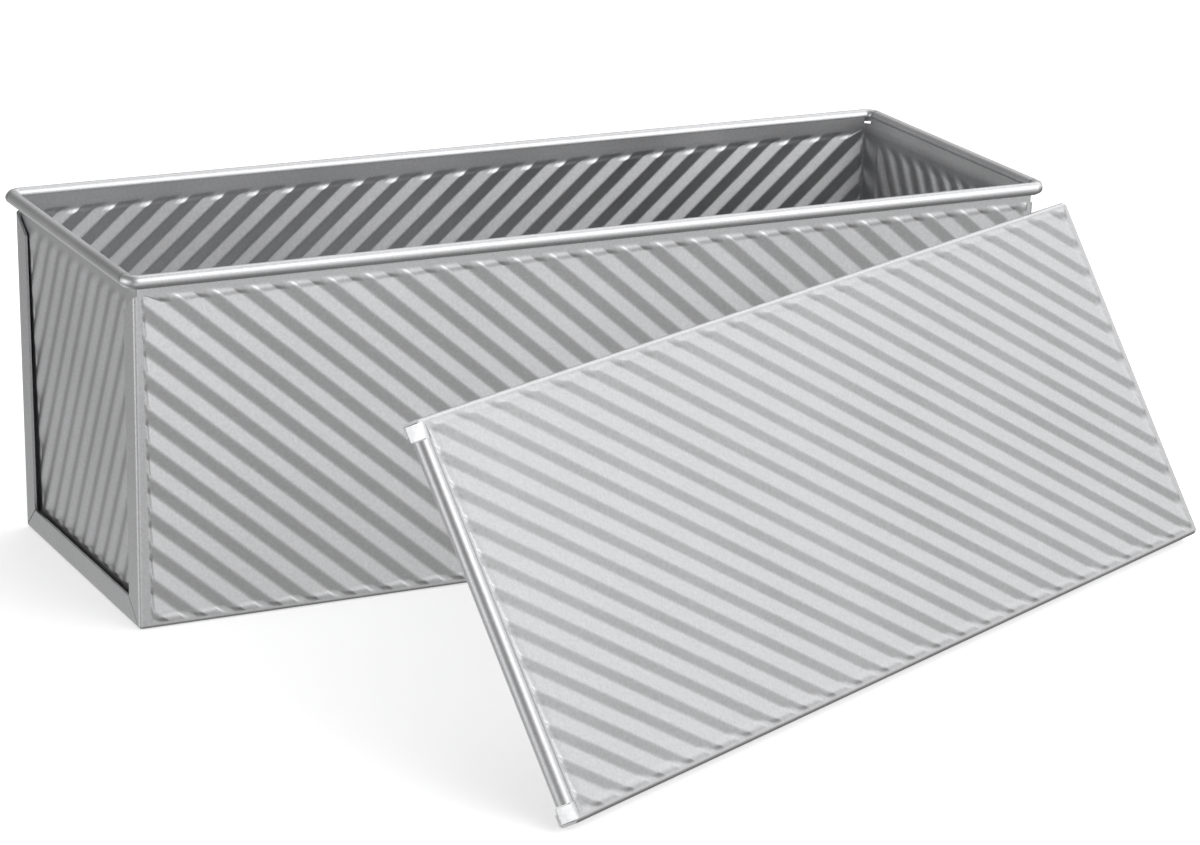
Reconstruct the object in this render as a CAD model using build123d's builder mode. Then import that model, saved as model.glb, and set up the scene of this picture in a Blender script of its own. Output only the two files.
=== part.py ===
"""Pullman loaf pan with its sliding lid taken off and leaning against it.

The pan is a folded trough of ribbed sheet with two ribbed end panels caught in its
folded flanges, and a steel wire rolled into its rim. The lid is a ribbed sheet whose
long edges are folded into channels that slide along the pan's long rims.

Millimetres, +Z up. The origin is on the floor under the middle of the pan, +X runs
along the pan and -Y points to its front wall.
"""
from build123d import *
from math import atan2, ceil, cos, degrees, hypot, radians, sin, tan
import os

# Driving sizes of the pan
body_length = 320.0
body_width = 108.5
rim_height = 114.0
wall_lean_angle = 0.75
sheet = 0.8
fold_radius = 1.2

# Rolled rim and the wire in it
wire_diameter = 2.7
wire_play = 0.05
curl_gap = 0.25
curl_inner_sides = 16
rim_corner_radius = 4.0
rim_corner_turns = 3
rim_seam_gap = 0.3

# Flanges that the trough folds over the end panels
flange_width = 9.0
flange_foot_height = 8.3
flange_top_drop = 5.0
flange_cut_angle = 35.0
mitre_gap = 0.3

# End panels
end_recess_foot = 2.6
end_seat_gap = 0.05
end_notch_gap = 0.4

# Pressed ribs
rib_pitch = 8.3
rib_rise = 0.6
rib_crest = 0.5
rib_steep_share = 0.44
ridge_end_run = 2.6
groove_end_run = 1.2
base_end_run = 4.4
rib_margin = 0.4
wall_rib_angle = -40.6
wall_rib_top_drop = 3.8
end_rib_angle = 60.0
lid_rib_angle = -36.3
lid_rib_border = 1.4
lid_rib_start = 5.0
lid_rib_end_run = 1.3

# Lid
slide_play = 0.3
side_play = 0.35
channel_lip_reach = 3.2
lid_roll_radius = 2.6
lid_overhang = 0.9
lid_corner_cut = 1.2
tab_width = 4.6
tab_run = 4.5
tab_angle = 30.0
tab_gap = 0.4
tab_slit_start = 4.2
tab_slit_width = 0.7

# Place of the lid, leaning on the pan's front right corner
lid_turn_angle = 24.9
lid_lean_angle = 30.0
lid_touch_share = 0.965
lid_touch_gap = 0.05

# Turns of the rim at a corner, and one overrun for all cuts
quarter_turn = 90.0
half_turn = 180.0
overrun = 2.0

# Sizes worked out from those above
lean = tan(radians(wall_lean_angle))
bead_inner_radius = wire_diameter / 2 + wire_play
bead_radius = bead_inner_radius + sheet
wall_top = rim_height - sheet / 2
wire_half_length = body_length / 2 + lean * rim_height + bead_inner_radius
wire_half_width = body_width / 2 + lean * rim_height + bead_inner_radius
rim_half_length = wire_half_length + bead_radius
rim_half_width = wire_half_width + bead_radius
bend_centre_x = wire_half_length - rim_corner_radius
bend_centre_y = wire_half_width - rim_corner_radius

lid_width = 2 * (rim_half_width + side_play + sheet)
lid_length = 2 * lid_roll_radius + side_play + 2 * rim_half_length + lid_overhang
channel_depth = rib_rise + sheet + slide_play + 2 * bead_radius + slide_play + sheet

# Heights at the ends: top of the flanges, and the end panels' step out to their rim
cut_high = rim_height - flange_top_drop
cut_low = cut_high - flange_width * tan(radians(flange_cut_angle))
end_recess_top = fold_radius + end_seat_gap
notch_low = rim_height - bead_radius - end_notch_gap
notch_half_width = bend_centre_y - rim_seam_gap

# Widths of the steep and the gentle side of a rib, from valley to crest
steep_run = rib_steep_share * (rib_pitch - 2 * rib_crest)
gentle_run = rib_pitch - 2 * rib_crest - steep_run

# Rib profiles as (distance across the ribs, height)
ridge_profile = [
    (0, 0),
    (steep_run / 2, rib_rise),
    (steep_run / 2 + rib_crest, rib_rise),
    (rib_pitch / 2, 0),
]
groove_profile = [
    (rib_pitch / 2, 0),
    (rib_pitch / 2 + gentle_run / 2, -rib_rise),
    (rib_pitch / 2 + gentle_run / 2 + rib_crest, -rib_rise),
    (rib_pitch, 0),
]
base_groove_profile = [
    (0, 0),
    (gentle_run, -2 * rib_rise),
    (gentle_run + rib_crest, -2 * rib_rise),
    (rib_pitch - rib_crest, 0),
]


def outline(half_low, half_high, low, high):
    """Corners of a four-sided outline that is symmetrical about its plane's y axis."""
    return [(-half_low, low), (half_low, low), (half_high, high), (-half_high, high)]


def block_outline(half_foot):
    """Outline of the leaning block that the trough is made from."""
    return outline(half_foot, half_foot + lean * wall_top, 0, wall_top)


def inside_half_width(height):
    """Half of the pan's width between the walls' inner faces."""
    return body_width / 2 + lean * height - sheet


def window_half_width(height):
    """Half of the width left open between the flanges of an end."""
    return body_width / 2 + lean * height - flange_width


def end_x(height, recess):
    """Place along X of a point set back behind the left end's outer face."""
    return recess - body_length / 2 - lean * height


def pressed_ribs(face, profile, height, angle, field, end_run):
    """Straight parallel ribs on a face, whose ends slope to its level inside the field."""
    half_low, half_high, low, high = field
    side = 1 if height > 0 else -1
    along = face.x_dir * cos(radians(angle)) + face.y_dir * sin(radians(angle))
    across = face.y_dir * cos(radians(angle)) - face.x_dir * sin(radians(angle))
    middle = face.from_local_coords((0, (low + high) / 2, 0))
    reach = hypot(max(half_low, half_high), (high - low) / 2)
    count = ceil(reach / rib_pitch)
    with BuildPart() as space:
        with BuildSketch(face.offset(-side * sheet)):
            Polygon(*outline(*field), align=None)
        extrude(amount=height + side * sheet)
        far_face = space.faces().sort_by(Axis(face.origin, face.z_dir * side))[-1]
        chamfer(far_face.edges(), length=end_run, length2=abs(height), reference=far_face)
    with BuildPart() as ribs:
        with BuildSketch(Plane(origin=middle, x_dir=across, z_dir=along)):
            with Locations(*[(step * rib_pitch, 0) for step in range(-count, count)]):
                Polygon(*profile, align=None)
        extrude(amount=reach, both=True)
        add(space.part, mode=Mode.INTERSECT)
    return ribs.part


def pressed_pair(face, angle, field, ridge_run=ridge_end_run, groove_run=groove_end_run):
    """Ridges and grooves of a panel that is pressed to both sides of its flat level."""
    ridges = pressed_ribs(face, ridge_profile, rib_rise, angle, field, ridge_run)
    grooves = pressed_ribs(face, groove_profile, -rib_rise, angle, field, groove_run)
    return ridges, grooves


def press(face, ridges, grooves):
    """Presses ridges and grooves into the sheet of the part that is being built."""
    inward = Location(face.z_dir * -sheet)
    add([ridges, grooves.moved(inward)])
    add([grooves, ridges.moved(inward)], mode=Mode.SUBTRACT)


def rim_corner(centre_x, start_angle):
    """Points of a front corner of the rim, which it turns in equal steps."""
    step = quarter_turn / rim_corner_turns
    reach = rim_corner_radius / cos(radians(step / 2))
    angles = [radians(start_angle + step / 2 + turn * step) for turn in range(rim_corner_turns)]
    return [(centre_x + reach * cos(a), reach * sin(a) - bend_centre_y) for a in angles]


def curl_section(plane):
    """Section of a rolled edge, slit beside its wall, with flats inside where it holds the wire."""
    with BuildSketch(plane) as section:
        Circle(bead_radius)
        RegularPolygon(
            bead_inner_radius, curl_inner_sides, major_radius=False, mode=Mode.SUBTRACT
        )
        with Locations((bead_inner_radius - curl_gap / 2, -bead_radius)):
            Rectangle(curl_gap, 2 * sheet, mode=Mode.SUBTRACT)
    return section.sketch


os.makedirs("parts", exist_ok=True)

# Outer faces of the walls and the base, each with its x to the right seen from outside
lean_cos = cos(radians(wall_lean_angle))
lean_sin = sin(radians(wall_lean_angle))
front_face = Plane(
    origin=(0, -body_width / 2, 0), x_dir=(1, 0, 0), z_dir=(0, -lean_cos, -lean_sin)
)
back_face = Plane(
    origin=(0, body_width / 2, 0), x_dir=(-1, 0, 0), z_dir=(0, lean_cos, -lean_sin)
)
base_face = Plane(origin=(0, 0, 0), x_dir=(1, 0, 0), z_dir=(0, 0, -1))

# Ribbed fields, as half width at the foot and at the top, foot height and top height
wall_rib_top = rim_height - wall_rib_top_drop
wall_field = (
    -end_x(0, end_recess_foot + sheet + rib_margin),
    -end_x(wall_rib_top, end_recess_top + sheet + rib_margin),
    fold_radius + rib_margin,
    wall_rib_top,
)
base_half_width = body_width / 2 - fold_radius - rib_margin
base_field = (wall_field[0], wall_field[0], -base_half_width, base_half_width)

front_ridges, front_grooves = pressed_pair(front_face, wall_rib_angle, wall_field)
back_ridges, back_grooves = pressed_pair(back_face, wall_rib_angle, wall_field)
base_grooves = pressed_ribs(
    base_face, base_groove_profile, -2 * rib_rise, wall_rib_angle, base_field, base_end_run
)

# Window left between the flanges of an end, with the flanges' tops cut slanting
fold_half_width = body_width / 2 + lean * cut_high
window_outline = [
    (-window_half_width(flange_foot_height), flange_foot_height),
    (window_half_width(flange_foot_height), flange_foot_height),
    (window_half_width(cut_low), cut_low),
    (fold_half_width, cut_high),
    (rim_half_width, cut_high),
    (rim_half_width, rim_height + overrun),
    (-rim_half_width, rim_height + overrun),
    (-rim_half_width, cut_high),
    (-fold_half_width, cut_high),
    (-window_half_width(cut_low), cut_low),
]
mitre_width = flange_width - fold_radius
mitre_height = flange_foot_height - fold_radius
mitre_length = hypot(mitre_width, mitre_height) + 2 * mitre_gap
mitre_angle = degrees(atan2(mitre_height, mitre_width))
mitre_middle_y = body_width / 2 - fold_radius - mitre_width / 2
mitre_middle_z = fold_radius + mitre_height / 2

# Rolled rim of the front wall, round both of its corners
left_corner = rim_corner(-bend_centre_x, half_turn)
right_corner = rim_corner(bend_centre_x, -quarter_turn)
with BuildLine(Plane.XY.offset(rim_height)) as front_rim_path:
    Polyline(
        (-wire_half_length, -bend_centre_y),
        *left_corner,
        *right_corner,
        (wire_half_length, -bend_centre_y),
    )
curl_start = Plane(origin=front_rim_path.line @ 0, x_dir=(1, 0, 0), z_dir=(0, -1, 0))
with BuildPart() as front_curl:
    sweep(
        sections=curl_section(curl_start),
        path=front_rim_path.line,
        transition=Transition.RIGHT,
    )

# Trough: front wall, base and back wall
with BuildPart() as body_sheet:
    with BuildSketch(Plane.XZ):
        Polygon(*block_outline(body_length / 2), align=None)
    extrude(amount=rim_half_width, both=True)
    with BuildSketch(Plane.YZ):
        Polygon(*block_outline(body_width / 2), align=None)
    extrude(amount=rim_half_length, both=True, mode=Mode.INTERSECT)
    upright_edges = body_sheet.edges().group_by(Axis.Z)[1]
    foot_edges = body_sheet.faces().sort_by(Axis.Z)[0].edges()
    fillet(upright_edges + foot_edges, radius=fold_radius)
    offset(amount=-sheet, openings=body_sheet.faces().sort_by(Axis.Z)[-1])
    # Windows and mitre slits of both ends
    for side in (-1, 1):
        end_plane = Plane(
            origin=(side * (body_length / 2 - fold_radius), 0, 0),
            x_dir=(0, side, 0),
            z_dir=(side * lean_cos, 0, -lean_sin),
        )
        with BuildSketch(end_plane):
            Polygon(*window_outline, align=None)
            for edge in (-1, 1):
                with Locations(
                    Location((edge * mitre_middle_y, mitre_middle_z), -edge * mitre_angle)
                ):
                    Rectangle(mitre_length, mitre_gap)
        extrude(amount=fold_radius + overrun, mode=Mode.SUBTRACT)
    # Ribs of the walls stand out and in, those of the base stand in only
    press(front_face, front_ridges, front_grooves)
    press(back_face, back_ridges, back_grooves)
    add(base_grooves.moved(Location((0, 0, sheet))))
    add(base_grooves, mode=Mode.SUBTRACT)
    # Rolled rims of both long walls, whose tops end where the rims turn the corners
    with BuildSketch(Plane.XZ):
        with Locations((-rim_half_length, rim_height), (rim_half_length, rim_height)):
            Rectangle(2 * (rim_half_length - bend_centre_x), 2 * (rim_height - notch_low))
    extrude(amount=rim_half_width, both=True, mode=Mode.SUBTRACT)
    add([front_curl.part, front_curl.part.rotate(Axis.Z, half_turn)])
body_sheet.part.label = "body_sheet"
export_step(body_sheet.part, "parts/body_sheet.step")

# Ribbed face of the left end panel, which leans a little more than the flanges
end_run_out = end_x(cut_high, end_recess_top) - end_x(0, end_recess_foot)
end_sheet_run = sheet * hypot(cut_high, end_run_out) / cut_high
end_face = Plane(
    origin=(end_x(0, end_recess_foot), 0, 0), x_dir=(0, -1, 0), z_dir=(-cut_high, 0, end_run_out)
)
end_field = (
    window_half_width(flange_foot_height) - rib_margin,
    window_half_width(cut_low) - rib_margin,
    flange_foot_height + rib_margin,
    cut_high - rib_margin,
)
end_ridges, end_grooves = pressed_pair(end_face, end_rib_angle, end_field)

# Turned out edges of the left end panel, which lie on the walls and on the base
with BuildPart() as end_edges:
    with BuildSketch(Plane.YZ) as edge_ring:
        Polygon(
            *outline(inside_half_width(sheet), inside_half_width(rim_height), sheet, rim_height),
            align=None,
        )
        fillet(edge_ring.vertices().group_by(Axis.Y)[0], radius=fold_radius)
        offset(amount=-sheet, mode=Mode.SUBTRACT)
    extrude(amount=-rim_half_length)
    with BuildSketch(Plane.XZ):
        Polygon(
            (end_x(0, end_recess_top), 0),
            (end_x(0, end_recess_foot + sheet / 2), 0),
            (end_x(cut_high, end_recess_top + sheet / 2), cut_high),
            (end_x(cut_high, end_recess_top), cut_high),
            align=None,
        )
    extrude(amount=rim_half_width, both=True, mode=Mode.INTERSECT)

# Left end panel with its own rolled rim
with BuildPart() as left_end_panel:
    with BuildSketch(Plane.YZ) as end_outline:
        Polygon(
            (-inside_half_width(sheet), sheet),
            (inside_half_width(sheet), sheet),
            (inside_half_width(notch_low), notch_low),
            (notch_half_width, notch_low),
            (notch_half_width, wall_top),
            (-notch_half_width, wall_top),
            (-notch_half_width, notch_low),
            (-inside_half_width(notch_low), notch_low),
            align=None,
        )
        fillet(end_outline.vertices().group_by(Axis.Y)[0], radius=fold_radius)
    extrude(amount=-rim_half_length)
    with BuildSketch(Plane.XZ):
        Polygon(
            (end_x(0, end_recess_foot), 0),
            (end_x(0, end_recess_foot + end_sheet_run), 0),
            (end_x(cut_high, end_recess_top + end_sheet_run), cut_high),
            (end_x(wall_top, sheet), wall_top),
            (end_x(wall_top, 0), wall_top),
            (end_x(cut_high, end_recess_top), cut_high),
            align=None,
        )
    extrude(amount=rim_half_width, both=True, mode=Mode.INTERSECT)
    add(end_edges.part)
    press(end_face, end_ridges, end_grooves)
    end_curl_plane = Plane(
        origin=(-wire_half_length, 0, rim_height), x_dir=(1, 0, 0), z_dir=(0, -1, 0)
    )
    extrude(curl_section(end_curl_plane), amount=notch_half_width, both=True)
left_end_panel.part.label = "left_end_panel"
export_step(left_end_panel.part, "parts/left_end_panel.step")

right_end_panel = left_end_panel.part.rotate(Axis.Z, half_turn)
right_end_panel.label = "right_end_panel"
export_step(right_end_panel, "parts/right_end_panel.step")

# Wire inside the rolled rim, bent in two halves that meet at the middle of the ends
with BuildLine(Plane.XY.offset(rim_height)) as wire_path:
    Polyline((-wire_half_length, 0), *left_corner, *right_corner, (wire_half_length, 0))
with BuildPart() as front_wire:
    with BuildSketch(Plane(origin=wire_path.line @ 0, z_dir=(0, -1, 0))):
        Circle(wire_diameter / 2)
    sweep(path=wire_path.line, transition=Transition.RIGHT)
with BuildPart() as rim_wire:
    add([front_wire.part, front_wire.part.rotate(Axis.Z, half_turn)])
rim_wire.part.label = "rim_wire"
export_step(rim_wire.part, "parts/rim_wire.step")

# Lid, drawn lying flat with its rolled end at the origin and its outer face at height 0
lid_rib_stop = lid_length - lid_rib_border
lid_rib_half_length = (lid_rib_stop - lid_rib_start) / 2
lid_rib_half_width = lid_width / 2 - lid_rib_border
lid_face = Plane(origin=((lid_rib_start + lid_rib_stop) / 2, 0, 0), z_dir=(0, 0, 1))
lid_field = (lid_rib_half_length, lid_rib_half_length, -lid_rib_half_width, lid_rib_half_width)
lid_ridges, lid_grooves = pressed_pair(
    lid_face, lid_rib_angle, lid_field, lid_rib_end_run, lid_rib_end_run
)
lid_roll_depth = lid_roll_radius - rib_rise
tab_middle = lid_width / 2 - fold_radius - tab_width / 2
tab_slit_low = tab_middle - tab_width / 2 - tab_gap
tab_slit_high = tab_middle + tab_width / 2
tab_end = (
    lid_roll_radius - tab_run * cos(radians(tab_angle)),
    -tab_run * sin(radians(tab_angle)),
)

with BuildPart() as lid_sheet:
    with BuildSketch(Plane.YZ.offset(lid_roll_radius)) as channels:
        with Locations((0, -channel_depth / 2)):
            Rectangle(lid_width, channel_depth)
        fillet(channels.vertices(), radius=fold_radius)
        offset(amount=-sheet, mode=Mode.SUBTRACT)
        with Locations((0, -channel_depth)):
            Rectangle(
                lid_width - 2 * (sheet + channel_lip_reach), channel_depth, mode=Mode.SUBTRACT
            )
    extrude(amount=lid_length - lid_roll_radius)
    # Cut corners of the open end
    with BuildSketch():
        with Locations((lid_length, -lid_width / 2), (lid_length, lid_width / 2)):
            RegularPolygon(radius=lid_corner_cut, side_count=4)
    extrude(amount=channel_depth + overrun, both=True, mode=Mode.SUBTRACT)
    press(lid_face, lid_ridges, lid_grooves)
    # Rolled end, which rises as far as the ribs do
    with BuildSketch(Plane.XZ):
        with Locations((lid_roll_radius, -lid_roll_depth)):
            Circle(lid_roll_radius)
            Circle(lid_roll_radius - sheet, mode=Mode.SUBTRACT)
        with Locations((lid_roll_radius, -sheet)):
            Rectangle(
                2 * lid_roll_radius,
                lid_roll_depth - sheet,
                align=(Align.MIN, Align.MAX),
                mode=Mode.SUBTRACT,
            )
    extrude(amount=tab_slit_low, both=True)
    # Tabs bent down beside the rolled end, each freed from the ribbed face by a wedge slit
    with BuildSketch(Plane.XZ.offset(-tab_middle), Plane.XZ.offset(tab_middle)):
        Polygon(
            (lid_roll_radius, 0),
            tab_end,
            (
                tab_end[0] + sheet * sin(radians(tab_angle)),
                tab_end[1] - sheet * cos(radians(tab_angle)),
            ),
            (lid_roll_radius + sheet * tan(radians(tab_angle / 2)), -sheet),
            align=None,
        )
    extrude(amount=tab_width / 2, both=True)
    with BuildSketch():
        for side in (-1, 1):
            Polygon(
                (tab_slit_start, side * tab_slit_low),
                (tab_slit_start + tab_slit_width, side * tab_slit_low),
                (tab_slit_start + tab_slit_width / 2, side * tab_slit_high),
                align=None,
            )
    extrude(amount=2 * sheet, both=True, mode=Mode.SUBTRACT)

# Directions of the standing lid: along it, level to the pan, up its face and out of it
lid_turn = radians(lid_turn_angle)
lid_lean = radians(lid_lean_angle)
along_lid = Vector(cos(lid_turn), sin(lid_turn), 0)
behind_lid = Vector(-sin(lid_turn), cos(lid_turn), 0)
up_lid = Vector(0, 0, cos(lid_lean)) + behind_lid * sin(lid_lean)
out_of_lid = Vector(0, 0, sin(lid_lean)) - behind_lid * cos(lid_lean)

# The lid's lower back fold stands on the floor, its upper one leans on the pan's corner
touch_height = fold_radius + (lid_width - 2 * fold_radius) * cos(lid_lean)
pan_corner = Vector(
    body_length / 2 + lean * touch_height - fold_radius,
    fold_radius - body_width / 2 - lean * touch_height,
    touch_height,
)
upper_fold = pan_corner - behind_lid * (2 * fold_radius + lid_touch_gap)
lid_origin = (
    upper_fold
    - along_lid * (lid_touch_share * lid_length)
    - up_lid * (lid_width / 2 - fold_radius)
    + out_of_lid * (channel_depth - fold_radius)
)
lid_place = Plane(origin=lid_origin, x_dir=along_lid, z_dir=out_of_lid)
standing_lid = lid_sheet.part.moved(lid_place.location)
standing_lid.label = "lid_sheet"
export_step(standing_lid, "parts/lid_sheet.step")
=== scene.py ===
"""Looks of a pullman loaf pan and its lid: satin steel sheet with softly pressed ribs.

Each pressed sheet takes its folds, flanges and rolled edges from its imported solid. Its ribbed
fields are made again as meshes whose lines follow the ribs, with rounded crests and soft ends.
Lengths are in millimetres and are scaled to metres where a mesh is made.
"""

import math

import bmesh
import bpy
from mathutils import Matrix, Vector


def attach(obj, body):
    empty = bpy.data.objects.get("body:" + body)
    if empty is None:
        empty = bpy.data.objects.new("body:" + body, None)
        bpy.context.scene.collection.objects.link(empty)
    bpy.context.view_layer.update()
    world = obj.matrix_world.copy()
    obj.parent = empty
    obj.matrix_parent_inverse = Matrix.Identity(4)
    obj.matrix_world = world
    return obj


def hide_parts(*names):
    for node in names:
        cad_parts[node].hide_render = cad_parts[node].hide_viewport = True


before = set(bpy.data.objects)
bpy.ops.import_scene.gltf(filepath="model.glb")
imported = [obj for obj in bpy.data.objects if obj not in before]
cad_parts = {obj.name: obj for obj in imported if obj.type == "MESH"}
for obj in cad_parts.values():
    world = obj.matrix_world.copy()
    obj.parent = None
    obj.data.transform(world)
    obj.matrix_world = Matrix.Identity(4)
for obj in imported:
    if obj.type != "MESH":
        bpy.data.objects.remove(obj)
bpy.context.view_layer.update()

MM = 0.001

# Sizes of the pan, the same as those of its solids
body_length = 320.0
body_width = 108.5
rim_height = 114.0
wall_lean_angle = 0.75
sheet = 0.8
fold_radius = 1.2
wire_diameter = 2.7
wire_play = 0.05
flange_width = 9.0
flange_foot_height = 8.3
flange_top_drop = 5.0
flange_cut_angle = 35.0
end_recess_foot = 2.6
end_seat_gap = 0.05

# Pressed ribs
rib_pitch = 8.3
rib_rise = 0.6
rib_crest = 0.5
wall_steep_share = 0.46
lid_steep_share = 0.35
rib_margin = 0.4
wall_rib_angle = -40.6
wall_rib_top_drop = 3.8
end_rib_angle = 60.0
lid_rib_angle = -36.3
lid_rib_rise = 0.5
lid_rib_border = 1.4
lid_rib_start = 5.0
rib_softness = 0.8
panel_rib_softness = 2.2
panel_rib_rise = 0.52

# Meshes: smallest gap between lines, widest gap that is welded, steps over a rib's end, samples
# over a bend, places of a bend's lines in shares of its softness, and degrees that stay sharp
line_gap = 0.1
weld_gap = 0.001
end_steps = 10
bend_samples = 9
bend_shares = (-0.5, -0.25, 0, 0.25, 0.5)
smooth_angle = 32.0

# Ends of the ribs, as (start of the ridges, their run, start of the grooves, their run)
short_end = (0.0, 0.7, 0.0, 1.6)
wall_foot_end = (0.0, 2.0, 0.0, 3.0)
wall_top_end = (1.0, 1.9, 2.0, 2.0)
base_end = (0.0, 4.4, 0.0, 4.4)
panel_end = (0.0, 1.6, 0.0, 1.6)
panel_top_end = (1.5, 4.0, 1.5, 4.0)
lid_end = (0.2, 1.8, 0.0, 4.0)
lid_roll_end = (0.0, 0.9, 0.0, 3.5)

# Lid and its place
slide_play = 0.3
side_play = 0.35
lid_roll_radius = 2.6
lid_overhang = 0.9
lid_turn_angle = 24.9
lid_lean_angle = 30.0
lid_touch_share = 0.965
lid_touch_gap = 0.05

# Camera, fitted to the photograph's edges of the pan and the lid
image_width = 1200
camera_clip = 50.0
focal_pixels = 4079.0
camera_pitch = 17.63
camera_yaw = -26.85
camera_roll = 1.48
camera_place = (-573.4, -1186.4, 452.6)

# Studio: brightness all round, and soft lights, each as (direction, tightness, strength)
surroundings = 0.22
soft_lights = [
    ((0.4, -0.66, 0.64), 11.0, 3.15),
    ((0.42, 0.46, 0.78), 11.0, 1.57),
    ((0.9, 0.1, 0.42), 11.0, 1.41),
    ((0.49, -0.87, -0.03), 11.0, 0.74),
    ((-0.21, -0.88, -0.41), 11.0, 0.86),
    ((-0.28, 0.63, -0.72), 11.0, 0.97),
    ((-1.0, 0.04, 0.08), 11.0, 2.3),
]

# Floor: radius, drop below the pan and sides, and how pale, bright, rough and shiny it is
floor_radius = 12000.0
floor_drop = 0.2
floor_sides = 96
floor_tone = 0.86
floor_glow = 0.5
floor_roughness = 0.9
floor_shine = 0.1

# Satin steel: tones and roughness of the pan, the lid and the hidden wire
pan_tone = 0.59
# The lid is the same steel as the pan; its darker tone is painted shade for the dimmer light on it
lid_shaded_tone = 0.515
wire_tone = 0.5
sheet_roughness = 0.42
wire_roughness = 0.3
steel_tint = (("Red", 0.995), ("Green", 1.0), ("Blue", 1.012))

# Its grain and clouds: sizes and detail, their usual ranges, and how far they change the steel
grain_size = 0.9
grain_detail = 3.0
grain_contrast = 0.13
grain_bump = 0.02
grain_bump_strength = 0.25
cloud_size = 45.0
cloud_detail = 2.0
cloud_share = 0.5
cloud_range = (0.3, 0.7)
mixed_range = (0.4, 1.1)
gloss_change = 0.03

# Its lighter sharp edges: pointiness at which the lift starts and is full, and the lift in tone
edge_range = (0.52, 0.62)
edge_lift = 0.06

# Sizes worked out from those above
lean = math.tan(math.radians(wall_lean_angle))
lean_cos = math.cos(math.radians(wall_lean_angle))
lean_sin = math.sin(math.radians(wall_lean_angle))
bead_radius = wire_diameter / 2 + wire_play + sheet
rim_reach = lean * rim_height + wire_diameter / 2 + wire_play + bead_radius
rim_half_length = body_length / 2 + rim_reach
rim_half_width = body_width / 2 + rim_reach
lid_width = 2 * (rim_half_width + side_play + sheet)
lid_length = 2 * lid_roll_radius + side_play + 2 * rim_half_length + lid_overhang
channel_depth = rib_rise + sheet + slide_play + 2 * bead_radius + slide_play + sheet
cut_high = rim_height - flange_top_drop
cut_low = cut_high - flange_width * math.tan(math.radians(flange_cut_angle))
end_recess_top = fold_radius + end_seat_gap


def two_sided_profile(steep_share, rise):
    """Ribs pressed to both sides, as (distance across them, height) over one pitch."""
    steep_run = steep_share * (rib_pitch - 2 * rib_crest)
    gentle_run = rib_pitch - 2 * rib_crest - steep_run
    groove_start = rib_pitch / 2 + gentle_run / 2
    return [
        (0, 0),
        (steep_run / 2, rise),
        (steep_run / 2 + rib_crest, rise),
        (groove_start, -rise),
        (groove_start + rib_crest, -rise),
        (rib_pitch, 0),
    ]


def inward_profile(steep_share, depth):
    """Ribs pressed inward only, as (distance across them, height) over one pitch."""
    gentle_run = (1 - steep_share) * (rib_pitch - 2 * rib_crest)
    return [
        (0, 0),
        (gentle_run, -depth),
        (gentle_run + rib_crest, -depth),
        (rib_pitch - rib_crest, 0),
        (rib_pitch, 0),
    ]


def panel_frame(origin, x_axis, normal):
    """Matrix of a flat panel, with its x axis and its outward normal as z axis."""
    z_axis = Vector(normal).normalized()
    x_axis = Vector(x_axis).normalized()
    y_axis = z_axis.cross(x_axis)
    matrix = Matrix((x_axis, y_axis, z_axis)).transposed().to_4x4()
    matrix.translation = Vector(origin)
    return matrix


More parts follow.
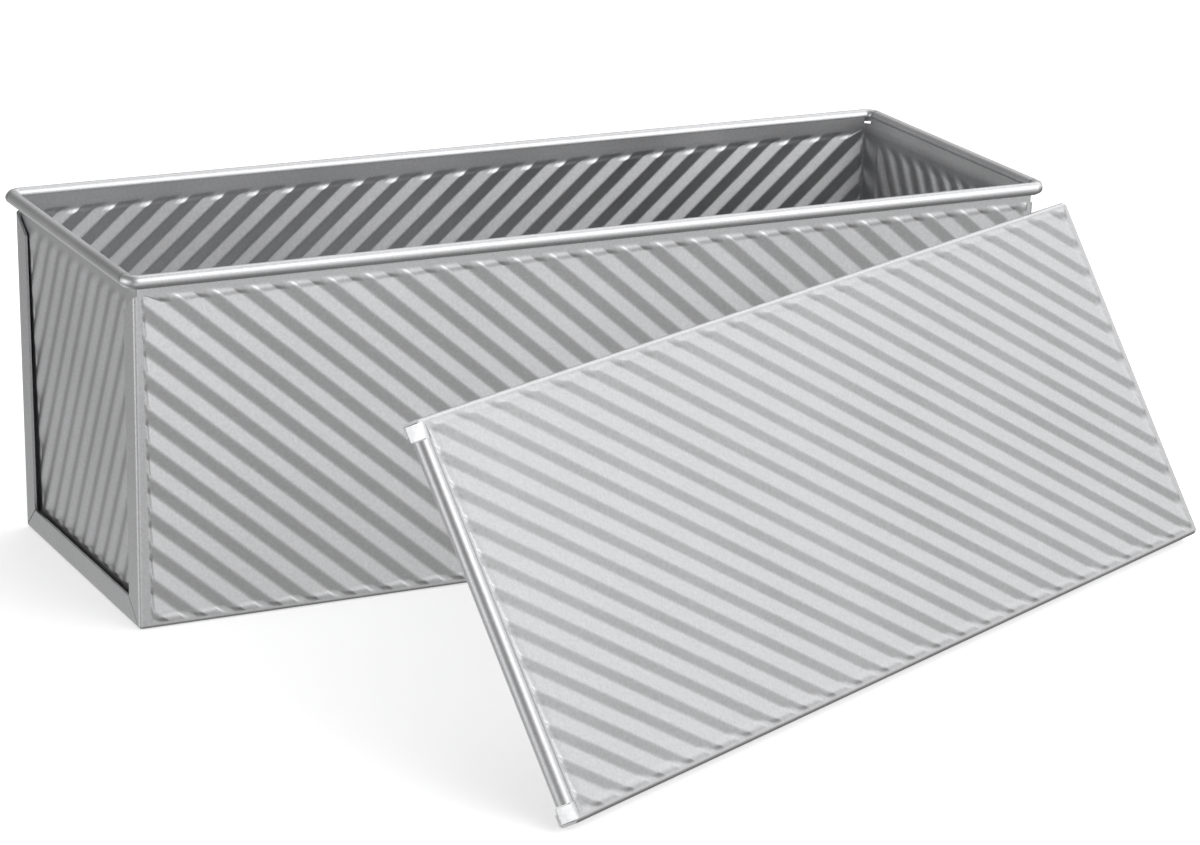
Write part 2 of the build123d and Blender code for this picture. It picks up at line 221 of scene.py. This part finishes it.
class RibField:
    """Ribbed field of a panel: its frame, its outline, its rib profile and its rib ends.

    The sides of the outline, and so the rib ends, are counted from the low side on. The
    softness is the width over which each bend of the profile is rounded.
    """

    def __init__(self, matrix, outline, angle, profile, ends, softness=rib_softness):
        half_low, half_high, low, high = outline
        self.matrix = matrix
        self.profile = profile
        self.ends = ends
        self.softness = softness
        self.corners = [
            Vector((-half_low, low)),
            Vector((half_low, low)),
            Vector((half_high, high)),
            Vector((-half_high, high)),
        ]
        self.middle = Vector((0, (low + high) / 2))
        self.along = Vector((math.cos(math.radians(angle)), math.sin(math.radians(angle))))
        self.across = Vector((-self.along.y, self.along.x))
        self.sides = []
        for start, end in zip(self.corners, self.corners[1:] + self.corners[:1]):
            edge = (end - start).normalized()
            inward = Vector((-edge.y, edge.x))
            self.sides.append((inward, inward.dot(start)))

    def side_distances(self, point):
        """Distances of a point from the sides of the outline, negative outside them."""
        return [inward.dot(point) - offset for inward, offset in self.sides]

    def sharp_height(self, distance):
        """Height of the profile with sharp bends at a distance across the ribs."""
        distance %= rib_pitch
        for (start, low), (end, high) in zip(self.profile, self.profile[1:]):
            if distance <= end:
                return low + (high - low) * (distance - start) / (end - start)
        return 0.0

    def height(self, place, point):
        """Height of the pressed surface, with rounded bends and ends that fade out."""
        shares = [k / (bend_samples - 1) - 0.5 for k in range(bend_samples)]
        steps = [share * self.softness for share in shares]
        height = sum(self.sharp_height(place + step) for step in steps) / bend_samples
        for border, end in zip(self.side_distances(point), self.ends):
            start, run = end[:2] if height > 0 else end[2:]
            height *= eased((border - start) / run)
        return height

    def line_places(self):
        """Distances across the ribs of all mesh lines, close together at each bend."""
        corner_places = [self.across.dot(corner - self.middle) for corner in self.corners]
        first, last = min(corner_places), max(corner_places)
        places = set()
        for turn in range(math.floor(first / rib_pitch), math.ceil(last / rib_pitch)):
            for bend, _ in self.profile[:-1]:
                middle = turn * rib_pitch + bend
                places.update(middle + share * self.softness for share in bend_shares)
        kept = sorted(corner_places)
        for place in sorted(places):
            if first < place < last and min(abs(place - other) for other in kept) > line_gap:
                kept.append(place)
        return sorted(kept)

    def line_reaches(self, place):
        """Places of the mesh points along a line, closer together over the rib ends."""
        foot = self.middle + self.across * place
        first, last = -math.inf, math.inf
        for (inward, offset), end in zip(self.sides, self.ends):
            rate = inward.dot(self.along)
            reach = (offset - inward.dot(foot)) / rate
            run = max(end[0] + end[1], end[2] + end[3]) / abs(rate)
            if rate > 0 and reach > first:
                first, first_run = reach, run
            if rate < 0 and reach < last:
                last, last_run = reach, run
        last = max(first, last)
        half = (last - first) / 2
        shares = [k / end_steps for k in range(end_steps + 1)]
        reaches = [first + share * min(first_run, half) for share in shares]
        reaches += [last - share * min(last_run, half) for share in reversed(shares)]
        return reaches if half > line_gap / 10 else [first] * len(reaches)


def eased(share):
    """Smooth rise from 0 to 1 as the share does, and level outside it."""
    share = min(max(share, 0.0), 1.0)
    return share * share * (3 - 2 * share)


def clear_field(mesh, field):
    """Takes the faceted ribs of a field out of a mesh, on both sides of the sheet."""
    to_panel = field.matrix.inverted()
    lowest = -2 * rib_rise - sheet - line_gap
    highest = rib_rise + line_gap
    faceted = []
    for face in mesh.faces:
        centre = to_panel @ (face.calc_center_median() / MM)
        if lowest < centre.z < highest and min(field.side_distances(centre.xy)) > 0:
            faceted.append(face)
    bmesh.ops.delete(mesh, geom=faceted, context="FACES")


def add_ribs(mesh, field, level, outward):
    """Adds the soft ribs of a field to a mesh, at a level below the panel's outer face."""
    lines = []
    for place in field.line_places():
        line = []
        for reach in field.line_reaches(place):
            if line and reach == last_reach:
                line.append(line[-1])
                continue
            point = field.middle + field.across * place + field.along * reach
            height = level + field.height(place, point)
            line.append(mesh.verts.new(field.matrix @ Vector((*point, height)) * MM))
            last_reach = reach
        lines.append(line)
    for one, other in zip(lines, lines[1:]):
        for k in range(len(one) - 1):
            ring = [one[k], one[k + 1], other[k + 1], other[k]]
            ring = list(dict.fromkeys(ring if outward else reversed(ring)))
            if len(ring) > 2:
                mesh.faces.new(ring)


def pressed_sheet(node, body, fields, material):
    """Makes the soft version of a packed sheet, which stands for its node."""
    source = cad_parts[node]
    mesh = bmesh.new()
    mesh.from_mesh(source.data)
    bmesh.ops.remove_doubles(mesh, verts=mesh.verts, dist=weld_gap * MM)
    for field in fields:
        clear_field(mesh, field)
    for field in fields:
        add_ribs(mesh, field, 0, True)
        add_ribs(mesh, field, -sheet, False)
    loose = [vert for vert in mesh.verts if not vert.link_faces]
    bmesh.ops.delete(mesh, geom=loose, context="VERTS")
    data = bpy.data.meshes.new(node + "_pressed")
    mesh.to_mesh(data)
    mesh.free()
    for name in ("custom_normal", "sharp_face", "sharp_edge"):
        if name in data.attributes:
            data.attributes.remove(data.attributes[name])
    data.shade_smooth()
    data.set_sharp_from_angle(angle=math.radians(smooth_angle))
    data.materials.clear()
    data.materials.append(material)
    piece = bpy.data.objects.new(node + "_pressed", data)
    bpy.context.scene.collection.objects.link(piece)
    weighted = piece.modifiers.new("weighted", "WEIGHTED_NORMAL")
    weighted.keep_sharp = True
    weighted.weight = 100
    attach(piece, body)
    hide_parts(node)
    return piece


def calculated(tree, operation, *values):
    """Output of a math node, whose values are numbers or the outputs of other nodes."""
    node = tree.nodes.new("ShaderNodeMath")
    node.operation = operation
    for value, socket in zip(values, node.inputs):
        if isinstance(value, bpy.types.NodeSocket):
            tree.links.new(value, socket)
        else:
            socket.default_value = value
    return node.outputs[0]


def mapped(tree, value, source_range, result_range):
    """Output of a node that maps a value from one range to another."""
    node = tree.nodes.new("ShaderNodeMapRange")
    tree.links.new(value, node.inputs["Value"])
    node.inputs["From Min"].default_value = source_range[0]
    node.inputs["From Max"].default_value = source_range[1]
    node.inputs["To Min"].default_value = result_range[0]
    node.inputs["To Max"].default_value = result_range[1]
    return node.outputs["Result"]


def noise(tree, size, detail):
    """Output of a noise texture that stays fixed to the object."""
    place = tree.nodes.new("ShaderNodeTexCoord")
    texture = tree.nodes.new("ShaderNodeTexNoise")
    texture.inputs["Scale"].default_value = 1 / (size * MM)
    texture.inputs["Detail"].default_value = detail
    tree.links.new(place.outputs["Object"], texture.inputs["Vector"])
    return texture.outputs["Fac"]


def satin_steel(name, tone, roughness):
    """Satin steel sheet: fine grain, faint cloudiness and a slightly lighter tone on sharp convex
    edges.
    """
    material = bpy.data.materials.new(name)
    material.use_nodes = True
    tree = material.node_tree
    link = tree.links.new
    shader = tree.nodes["Principled BSDF"]
    shader.inputs["Metallic"].default_value = 1.0
    grain = noise(tree, grain_size, grain_detail)
    cloud = noise(tree, cloud_size, cloud_detail)

    mixed = calculated(tree, "MULTIPLY_ADD", cloud, cloud_share, grain)
    tones = (tone * (1 - grain_contrast), tone * (1 + grain_contrast))
    shades = mapped(tree, mixed, mixed_range, tones)
    geometry = tree.nodes.new("ShaderNodeNewGeometry")
    edges = mapped(tree, geometry.outputs["Pointiness"], edge_range, (0, edge_lift))
    lifted = calculated(tree, "ADD", shades, edges)
    colour = tree.nodes.new("ShaderNodeCombineColor")
    for channel, share in steel_tint:
        link(calculated(tree, "MULTIPLY", lifted, share), colour.inputs[channel])
    link(colour.outputs["Color"], shader.inputs["Base Color"])

    gloss = (roughness - gloss_change, roughness + gloss_change)
    link(mapped(tree, cloud, cloud_range, gloss), shader.inputs["Roughness"])

    bump = tree.nodes.new("ShaderNodeBump")
    bump.inputs["Strength"].default_value = grain_bump_strength
    bump.inputs["Distance"].default_value = grain_bump * MM
    link(grain, bump.inputs["Height"])
    link(bump.outputs["Normal"], shader.inputs["Normal"])
    return material


pan_steel = satin_steel("pan_satin_steel", pan_tone, sheet_roughness)
# The lid's copy of the steel is darker than the pan's: painted shade
lid_shaded_steel = satin_steel("lid_shaded_satin_steel", lid_shaded_tone, sheet_roughness)
wire_steel = satin_steel("wire_steel", wire_tone, wire_roughness)

# Ribbed fields of the pan's walls and base
wall_rib_top = rim_height - wall_rib_top_drop
wall_outline = (
    body_length / 2 - end_recess_foot - sheet - rib_margin,
    body_length / 2 + lean * wall_rib_top - end_recess_top - sheet - rib_margin,
    fold_radius + rib_margin,
    wall_rib_top,
)
base_half_width = body_width / 2 - fold_radius - rib_margin
base_outline = (wall_outline[0], wall_outline[0], -base_half_width, base_half_width)
front_frame = panel_frame((0, -body_width / 2, 0), (1, 0, 0), (0, -lean_cos, -lean_sin))
back_frame = panel_frame((0, body_width / 2, 0), (-1, 0, 0), (0, lean_cos, -lean_sin))
base_frame = panel_frame((0, 0, 0), (1, 0, 0), (0, 0, -1))
wall_profile = two_sided_profile(wall_steep_share, rib_rise)
wall_ends = [wall_foot_end, short_end, wall_top_end, short_end]
base_profile = inward_profile(wall_steep_share, 2 * rib_rise)
body_fields = [
    RibField(front_frame, wall_outline, wall_rib_angle, wall_profile, wall_ends),
    RibField(back_frame, wall_outline, wall_rib_angle, wall_profile, wall_ends),
    RibField(base_frame, base_outline, wall_rib_angle, base_profile, [base_end] * 4),
]

# Ribbed fields of the two end panels, which are alike
end_run_out = end_recess_top - end_recess_foot - lean * cut_high
end_outline = (
    body_width / 2 + lean * flange_foot_height - flange_width - rib_margin,
    body_width / 2 + lean * cut_low - flange_width - rib_margin,
    flange_foot_height + rib_margin,
    cut_high - rib_margin,
)
panel_profile = two_sided_profile(wall_steep_share, panel_rib_rise)
panel_ends = [panel_end, panel_end, panel_top_end, panel_end]
left_frame = panel_frame(
    (end_recess_foot - body_length / 2, 0, 0), (0, -1, 0), (-cut_high, 0, end_run_out)
)
right_frame = Matrix.Rotation(math.pi, 4, "Z") @ left_frame
end_fields = [
    RibField(matrix, end_outline, end_rib_angle, panel_profile, panel_ends, panel_rib_softness)
    for matrix in (left_frame, right_frame)
]

# Ribbed field of the lid, in the place where the lid stands
lid_turn = math.radians(lid_turn_angle)
lid_lean = math.radians(lid_lean_angle)
along_lid = Vector((math.cos(lid_turn), math.sin(lid_turn), 0))
behind_lid = Vector((-math.sin(lid_turn), math.cos(lid_turn), 0))
up_lid = Vector((0, 0, math.cos(lid_lean))) + behind_lid * math.sin(lid_lean)
out_of_lid = Vector((0, 0, math.sin(lid_lean))) - behind_lid * math.cos(lid_lean)
touch_height = fold_radius + (lid_width - 2 * fold_radius) * math.cos(lid_lean)
pan_corner = Vector((
    body_length / 2 + lean * touch_height - fold_radius,
    fold_radius - body_width / 2 - lean * touch_height,
    touch_height,
))
lid_origin = (
    pan_corner
    - behind_lid * (2 * fold_radius + lid_touch_gap)
    - along_lid * (lid_touch_share * lid_length)
    - up_lid * (lid_width / 2 - fold_radius)
    + out_of_lid * (channel_depth - fold_radius)
)
lid_rib_stop = lid_length - lid_rib_border
lid_half_length = (lid_rib_stop - lid_rib_start) / 2
lid_half_width = lid_width / 2 - lid_rib_border
lid_frame = panel_frame(
    lid_origin + along_lid * (lid_rib_start + lid_rib_stop) / 2, along_lid, out_of_lid
)
lid_field = RibField(
    lid_frame,
    (lid_half_length, lid_half_length, -lid_half_width, lid_half_width),
    lid_rib_angle,
    two_sided_profile(lid_steep_share, lid_rib_rise),
    [lid_end, lid_end, lid_end, lid_roll_end],
)

pressed_sheet("body_sheet", "pan", body_fields, pan_steel)
pressed_sheet("left_end_panel", "pan", end_fields[:1], pan_steel)
pressed_sheet("right_end_panel", "pan", end_fields[1:], pan_steel)
lid = pressed_sheet("lid_sheet", "lid", [lid_field], lid_shaded_steel)
lid.visible_glossy = False
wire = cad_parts["rim_wire"]
wire.data.materials.clear()
wire.data.materials.append(wire_steel)


def lay_floor():
    """Plain pale floor, which the steel doesn't mirror."""
    rings = bmesh.new()
    bmesh.ops.create_circle(
        rings, cap_ends=True, segments=floor_sides, radius=floor_radius * MM
    )
    data = bpy.data.meshes.new("floor")
    rings.to_mesh(data)
    rings.free()
    floor = bpy.data.objects.new("floor", data)
    floor.location.z = -floor_drop * MM
    bpy.context.scene.collection.objects.link(floor)
    material = bpy.data.materials.new("pale_floor")
    material.use_nodes = True
    shader = material.node_tree.nodes["Principled BSDF"]
    shader.inputs["Base Color"].default_value = (floor_tone, floor_tone, floor_tone, 1)
    shader.inputs["Roughness"].default_value = floor_roughness
    shader.inputs["Specular IOR Level"].default_value = floor_shine
    shader.inputs["Emission Color"].default_value = (1, 1, 1, 1)
    shader.inputs["Emission Strength"].default_value = floor_glow
    data.materials.append(material)
    floor.visible_glossy = False


def light_studio():
    """Even pale surroundings with a few broad soft lights, each a smooth lobe round a direction."""
    world = bpy.data.worlds.new("studio")
    bpy.context.scene.world = world
    world.use_nodes = True
    tree = world.node_tree
    place = tree.nodes.new("ShaderNodeTexCoord")
    total = surroundings
    for direction, tightness, strength in soft_lights:
        facing = tree.nodes.new("ShaderNodeVectorMath")
        facing.operation = "DOT_PRODUCT"
        tree.links.new(place.outputs["Generated"], facing.inputs[0])
        facing.inputs[1].default_value = Vector(direction).normalized()
        fall = calculated(tree, "MULTIPLY_ADD", facing.outputs["Value"], tightness, -tightness)
        lobe = calculated(tree, "EXPONENT", fall)
        total = calculated(tree, "MULTIPLY_ADD", lobe, strength, total)
    background = tree.nodes["Background"]
    background.inputs["Color"].default_value = (1, 1, 1, 1)
    tree.links.new(total, background.inputs["Strength"])


def set_camera():
    """Camera at the photograph's viewing angle."""
    pitch, yaw, roll = (math.radians(a) for a in (camera_pitch, camera_yaw, camera_roll))
    forward = Vector(
        (-math.sin(yaw) * math.cos(pitch), math.cos(yaw) * math.cos(pitch), -math.sin(pitch))
    )
    right = Vector((math.cos(yaw), math.sin(yaw), 0))
    up = right.cross(forward)
    turned_right = right * math.cos(roll) + up * math.sin(roll)
    turned_up = up * math.cos(roll) - right * math.sin(roll)
    data = bpy.data.cameras.new("camera")
    data.lens = focal_pixels * data.sensor_width / image_width
    camera = bpy.data.objects.new("camera", data)
    camera.matrix_world = Matrix((turned_right, turned_up, -forward)).transposed().to_4x4()
    camera.location = Vector(camera_place) * MM
    data.clip_start = camera_clip * MM
    bpy.context.scene.collection.objects.link(camera)
    bpy.context.scene.camera = camera
    bpy.context.scene.view_settings.view_transform = "Standard"


lay_floor()
light_studio()
set_camera()
